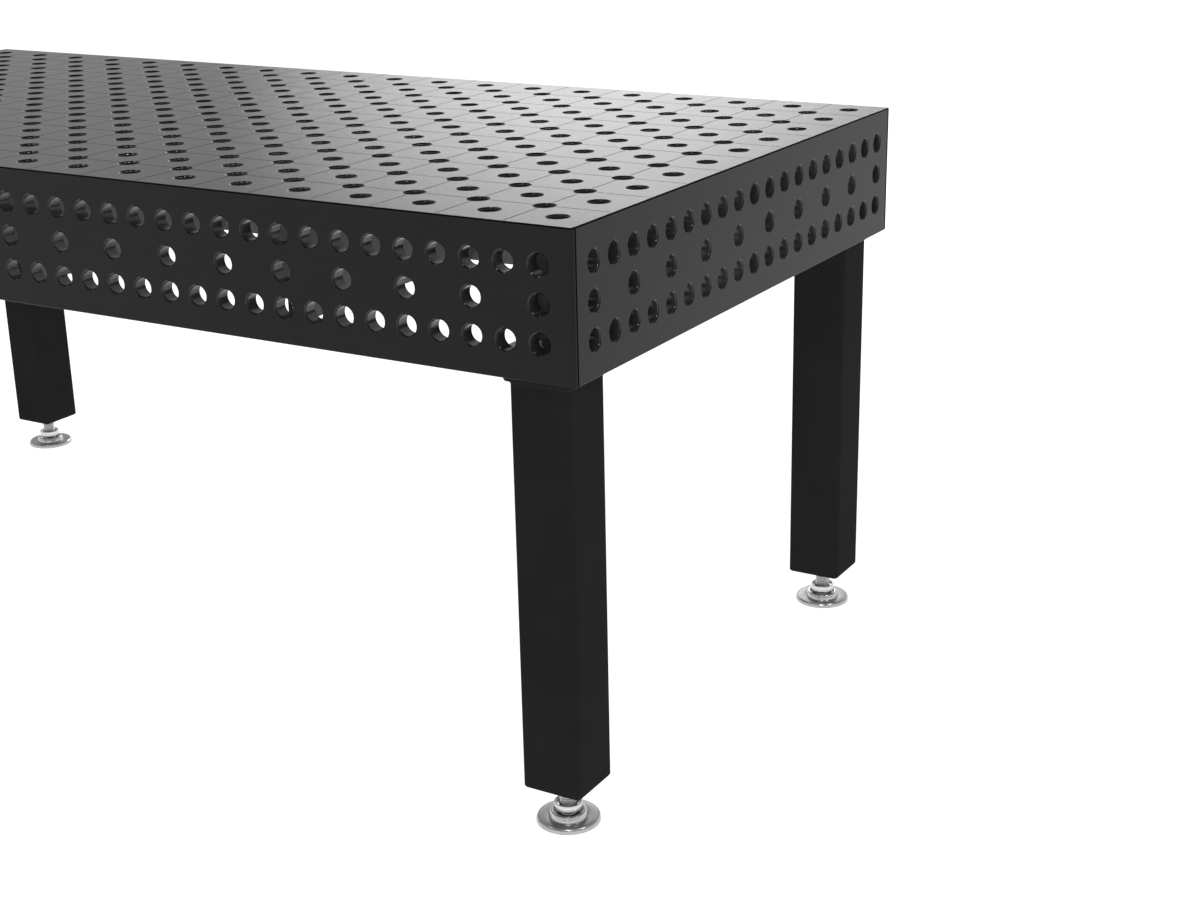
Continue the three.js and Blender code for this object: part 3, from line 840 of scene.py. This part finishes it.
    # the rim chamfer (segments 5 to 7) and the raised ring (segments 16 to 30) take the hub's brighter steel: painted
    # highlight
    turned(b, [(0, 0.05), (43.6, 0.05), (44.3, 0.2), (44.8, 0.6), (45.0, 1.2), (45.0, 5.3), (44.9, 5.6), (42.9, 7.75), (42.6, 7.95), (42.3, 7.8), (42.1, 7.4), (41.9, 7.4), (41.7, 7.7), (41.4, 7.75),
               (34.0, 7.78), (27.9, 7.8), (27.4, 7.7), (27.2, 7.9), (27.1, 8.3), (26.3, 12.2), (26.1, 12.5), (25.8, 12.6), (25.7, 12.9), (25.5, 13.8), (24.3, 15.6), (23.9, 15.9), (23.3, 16.0), (21.9, 16.0), (21.3, 15.85), (20.9, 15.5), (20.7, 15.0),
               (20.6, 13.0), (16.2, 11.0), (15.5, 10.4), (15.4, 9.8), (15.4, 5.6), (0, 5.5)], 128, cx=cx, cy=cy, bright=(5, 6, 7, *range(16, 31)))
    b.make(f"disc_turned_{corner}", [mat_disc, mat_hub], f"disc_{corner}", [f"foot_disc_{corner}"], origin=(cx, cy, 0), sharp=38)

    # swivel ring between hub and disc
    b = Build()
    turned(b, [(8.6, 8.4), (8.9, 7.8), (9.6, 7.6), (11.4, 7.6), (12.2, 8.2), (12.55, 9.6), (12.6, 11.0), (12.55, 12.4), (12.2, 13.8), (11.4, 14.4), (9.6, 14.4), (8.9, 14.2), (8.6, 13.6)], 64, cx=cx, cy=cy, closed=True)
    b.make(f"swivel_turned_{corner}", [mat_hub], f"swivel_{corner}", [f"foot_swivel_{corner}"], origin=(cx, cy, 0), sharp=50)

# ------------------------------------------------------------------ floor, light, camera
floor_mesh = bpy.data.meshes.new("floor")
ring = [(30 * math.cos(2 * math.pi * k / 96), 30 * math.sin(2 * math.pi * k / 96), 0.0) for k in range(96)]
floor_mesh.from_pydata(ring, [], [tuple(range(96))])
floor = bpy.data.objects.new("floor", floor_mesh)
floor.location.z = -0.036     # just under the lowest reach of a foot that is screwed right out and tilted
bpy.context.scene.collection.objects.link(floor)
fm = Nodes("floor_paper")
grain = fm.noise(40.0, 3.0, 0.6)
fm.set(Base_Color=fm.mix(grain, (0.80, 0.80, 0.80, 1), (0.82, 0.82, 0.82, 1)), Roughness=0.9, Emission_Color=(1, 1, 1, 1), Emission_Strength=0.80)
fm.bsdf.inputs["Specular IOR Level"].default_value = 0.0
floor_mesh.materials.append(fm.mat)

WARM = (1.0, 0.982, 0.991)
ROOM = 0.75         # light of the room at eye level; it falls off overhead
scene = bpy.context.scene
scene.view_settings.view_transform = "Standard"
world = bpy.data.worlds.new("studio")
scene.world = world
world.use_nodes = True
wt = world.node_tree
wt.nodes.clear()
w_out = wt.nodes.new("ShaderNodeOutputWorld")
w_mix = wt.nodes.new("ShaderNodeMixShader")
w_path = wt.nodes.new("ShaderNodeLightPath")
w_room = wt.nodes.new("ShaderNodeBackground")
w_seen = wt.nodes.new("ShaderNodeBackground")
w_room.inputs["Color"].default_value = (*WARM, 1)
w_dir = wt.nodes.new("ShaderNodeTexCoord")
w_sep = wt.nodes.new("ShaderNodeSeparateXYZ")
w_fall = wt.nodes.new("ShaderNodeMapRange")
wt.links.new(w_dir.outputs["Generated"], w_sep.inputs[0])
wt.links.new(w_sep.outputs["Z"], w_fall.inputs[0])
for socket, value in zip(w_fall.inputs[1:], (0.0, 1.0, ROOM, ROOM * 0.12)):
    socket.default_value = value
wt.links.new(w_fall.outputs[0], w_room.inputs["Strength"])
w_seen.inputs["Color"].default_value = (1, 1, 1, 1)
w_seen.inputs["Strength"].default_value = 1.0
wt.links.new(w_path.outputs["Is Camera Ray"], w_mix.inputs[0])
wt.links.new(w_room.outputs[0], w_mix.inputs[1])
wt.links.new(w_seen.outputs[0], w_mix.inputs[2])
wt.links.new(w_mix.outputs[0], w_out.inputs[0])


def softbox(name, place, yaw, tilt, width, height, radiance):
    """A soft light panel facing (sin yaw, -cos yaw) and tilted down, hidden from the camera."""
    light = bpy.data.lights.new(name, "AREA")
    light.shape = "RECTANGLE"
    light.size, light.size_y = width, height
    light.energy = radiance * math.pi * width * height
    light.color = WARM
    n = Vector((math.cos(tilt) * math.sin(yaw), -math.cos(tilt) * math.cos(yaw), -math.sin(tilt)))
    a = Vector((math.cos(yaw), math.sin(yaw), 0.0))
    up = a.cross(n)
    o = bpy.data.objects.new(name, light)
    o.matrix_world = Matrix.Translation(place) @ Matrix((a, up, -n)).transposed().to_4x4()
    o.visible_camera = False
    scene.collection.objects.link(o)
    return o


softbox("panel_back", (-1.781, 4.179, 1.532), -0.45, 1.2, 3.2, 1.72, 2.15)


def lamp(name, direction, distance, width, height, radiance, target=(0.5, -0.3, 0.75)):
    """A small bright panel that the edges and bores pick up as a glint, facing the table from a given direction."""
    d = Vector(direction).normalized()
    place = Vector(target) + d * distance
    return softbox(name, place, math.atan2(-d.x, d.y), math.asin(d.z), width, height, radiance)


lamp("strip_key", (0.43, -0.55, 0.71), 3.4, 0.55, 0.16, 34.0)
lamp("strip_right", (0.78, 0.0, 0.63), 3.4, 0.5, 0.16, 26.0)
lamp("strip_over", (0.0, -0.16, 0.98), 3.0, 0.5, 0.12, 16.0)
lamp("strip_left", (-0.50, -0.26, 0.80), 3.2, 0.7, 0.4, 7.0)

# light that has found its way in under the top
softbox("under_top", (0.0, 0.0, 0.822), 0.0, math.pi / 2, 1.9, 0.9, 0.5)

cam = bpy.data.cameras.new("camera")
cam.sensor_fit = "HORIZONTAL"
cam.sensor_width = 36.0
cam.lens = 56.9295
cam.clip_end = 200.0
camera = bpy.data.objects.new("camera", cam)
turn = Matrix(((0.8646406, -0.1487722, 0.4798577), (0.5020549, 0.2908007, -0.8144789), (-0.0183711, 0.9451464, 0.3261299)))
camera.matrix_world = Matrix.Translation((2.14953718, -2.39549321, 1.33573218)) @ turn.to_4x4()
scene.collection.objects.link(camera)
scene.camera = camera
